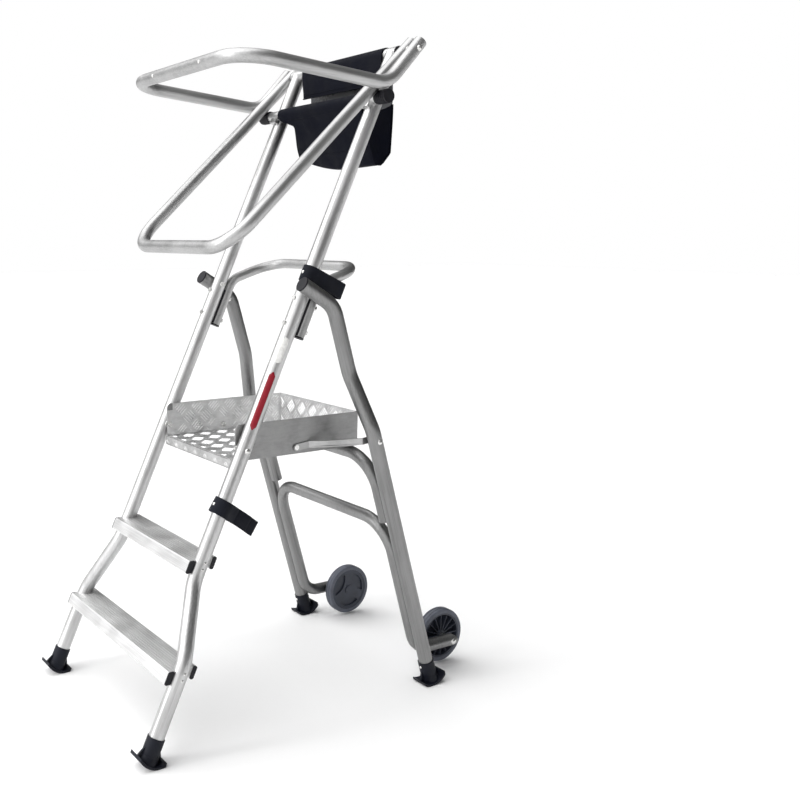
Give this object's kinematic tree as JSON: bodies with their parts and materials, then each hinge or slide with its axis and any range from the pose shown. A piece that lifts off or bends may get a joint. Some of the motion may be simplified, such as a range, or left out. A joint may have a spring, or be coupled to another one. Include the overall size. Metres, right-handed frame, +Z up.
{
  "type": "folding rolling warehouse ladder",
  "caption": "Folding aluminium platform ladder on wheels, with a guarded standing platform, swinging hand rails and a fabric tool tray.",
  "frame": {"origin": "on the floor, in the middle of the footprint of the open ladder", "axes": "+Y is the direction a person climbs, +X is to the climber's right, +Z is up"},
  "size_m": [0.678, 1.1182, 1.7854],
  "materials": {
    "tube_aluminium": "bright drawn",
    "tread_aluminium": "satin, finely grooved",
    "tread_plate": "raised five-bar pattern",
    "link_aluminium": "satin",
    "zinc_steel": "zinc plated",
    "rivet": "satin",
    "black_plastic": "matt",
    "foot_rubber": "matt",
    "tyre": "matt",
    "hub_plastic": "satin",
    "strap": "woven hook-and-loop tape",
    "tray_fabric": "coated woven fabric"
  },
  "bodies": {
    "front_frame": {"stile_left": "tube_aluminium", "stile_right": "tube_aluminium", "top_crossbar": "tube_aluminium", "top_crossbar_plugs": "black_plastic", "lower_crossbar": "tube_aluminium", "lower_crossbar_caps": "black_plastic", "crossbar_saddles": "tube_aluminium", "tread_lower": "tread_aluminium", "tread_upper": "tread_aluminium", "tread_end_caps": "black_plastic", "tread_rivets": "rivet", "front_foot_left": "foot_rubber", "front_foot_right": "foot_rubber", "front_foot_rivets": "rivet", "knee_hoop": "tube_aluminium", "knee_hoop_plugs": "black_plastic", "knee_hoop_spacers": "black_plastic", "knee_hoop_bolts": "zinc_steel", "strap_upper": "strap", "strap_lower": "strap", "strap_rivets": "rivet", "tool_tray": "tray_fabric", "guardrail_pivot_bolts": "zinc_steel", "guardrail_washers": "zinc_steel", "rear_frame_bolts": "zinc_steel", "rear_frame_washers": "zinc_steel", "platform_bolts": "zinc_steel", "platform_washers": "zinc_steel"},
    "rear_frame": {"rear_leg_left": "tube_aluminium", "rear_leg_right": "tube_aluminium", "rear_leg_plugs": "black_plastic", "rear_foot_left": "foot_rubber", "rear_foot_right": "foot_rubber", "rear_foot_rivets": "rivet", "platform_hoop": "tube_aluminium", "wheel_hoop": "tube_aluminium", "wheel_hoop_plugs": "tube_aluminium", "link_bolts": "zinc_steel", "wheel_axles": "zinc_steel"},
    "platform": {"platform_tray": "tread_plate", "link_hinge_pins": "zinc_steel"},
    "link_left": {"link_left": "link_aluminium"},
    "link_right": {"link_right": "link_aluminium"},
    "guardrail_upper": {"guardrail_upper": "tube_aluminium", "guardrail_rivets": "rivet"},
    "guardrail_lower": {"guardrail_lower": "tube_aluminium"},
    "wheel_left": {"tyre_left": "tyre", "hub_left": "hub_plastic"},
    "wheel_right": {"tyre_right": "tyre", "hub_right": "hub_plastic"}
  },
  "joints": [
    {"name": "rear_frame_fold", "type": "hinge", "parent": "front_frame", "child": "rear_frame", "pos_m": [0, -0.02001, 1.124], "axis": [-1, 0, 0], "range_deg": [0, 39.5]},
    {"name": "platform_fold", "type": "hinge", "parent": "front_frame", "child": "platform", "pos_m": [0, -0.20275, 0.723], "axis": [1, 0, 0], "range_deg": [0, 65.5]},
    {"name": "link_left_swing", "type": "hinge", "parent": "platform", "child": "link_left", "pos_m": [-0.196, -0.02235, 0.7055], "axis": [-1, 0, 0], "range_deg": [0, 170.7]},
    {"name": "link_right_swing", "type": "hinge", "parent": "platform", "child": "link_right", "pos_m": [0.196, -0.02235, 0.7055], "axis": [-1, 0, 0], "range_deg": [0, 170.7]},
    {"name": "guardrail_lower_swing", "type": "hinge", "parent": "front_frame", "child": "guardrail_lower", "pos_m": [0, 0.26437, 1.748], "axis": [-1, 0, 0], "range_deg": [0, 324.2]},
    {"name": "guardrail_upper_swing", "type": "hinge", "parent": "front_frame", "child": "guardrail_upper", "pos_m": [0, 0.26437, 1.748], "axis": [-1, 0, 0], "range_deg": [0, 296.5]},
    {"name": "wheel_left_spin", "type": "hinge", "parent": "rear_frame", "child": "wheel_left", "pos_m": [-0.223, 0.47911, 0.087], "axis": [1, 0, 0], "continuous": true},
    {"name": "wheel_right_spin", "type": "hinge", "parent": "rear_frame", "child": "wheel_right", "pos_m": [0.223, 0.47911, 0.087], "axis": [1, 0, 0], "continuous": true}
  ],
  "couplings": [
    {"joint": "platform_fold", "follows": "rear_frame_fold", "ratio": 1.6558},
    {"joint": "link_left_swing", "follows": "rear_frame_fold", "ratio": 4.3185},
    {"joint": "link_right_swing", "follows": "rear_frame_fold", "ratio": 4.3185},
    {"joint": "guardrail_upper_swing", "follows": "guardrail_lower_swing", "ratio": 0.913}
  ]
}
